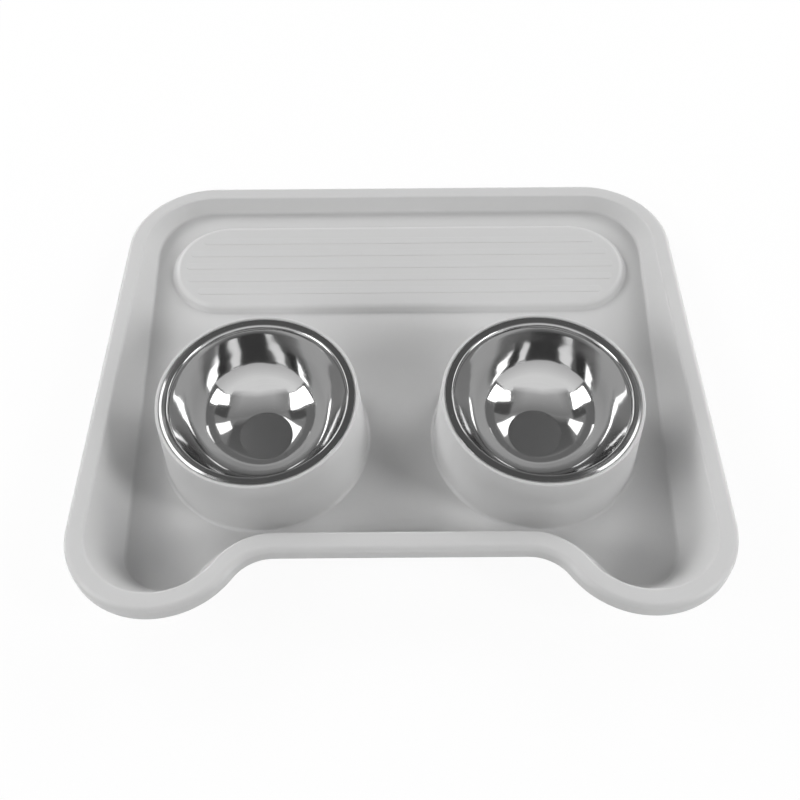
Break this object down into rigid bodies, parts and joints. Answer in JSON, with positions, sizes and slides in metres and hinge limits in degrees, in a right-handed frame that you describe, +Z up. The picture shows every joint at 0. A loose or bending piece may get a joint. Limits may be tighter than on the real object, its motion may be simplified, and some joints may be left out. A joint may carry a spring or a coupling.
{
  "type": "double pet bowl",
  "caption": "Double pet feeder: a moulded tray with a sloping rim, a ribbed pad and raised ring stands that hold lift-out steel bowls.",
  "frame": {"origin": "on the ground, under the middle of the tray", "axes": "+X to the right along the tray's long side, +Y to the back where the ribbed pad is, +Z up; the pet stands at -Y"},
  "size_m": [0.428, 0.3784, 0.0592],
  "materials": {
    "tray_plastic": "light warm grey, satin, with a very fine grain",
    "bowl_steel": "polished inside, with a faintly spun flat at the bottom",
    "foot_rubber": "dull black"
  },
  "bodies": {
    "tray": {"tray": "tray_plastic", "foot_back_left": "foot_rubber", "foot_back_right": "foot_rubber", "foot_front_left": "foot_rubber", "foot_front_right": "foot_rubber"},
    "bowl_left": {"bowl_left": "bowl_steel"},
    "bowl_right": {"bowl_right": "bowl_steel"}
  },
  "joints": [
    {"name": "bowl_left_lift", "type": "slide", "parent": "tray", "child": "bowl_left", "axis": [0, 0, 1], "range_m": [0, 0.065]},
    {"name": "bowl_right_lift", "type": "slide", "parent": "tray", "child": "bowl_right", "axis": [0, 0, 1], "range_m": [0, 0.065]}
  ]
}
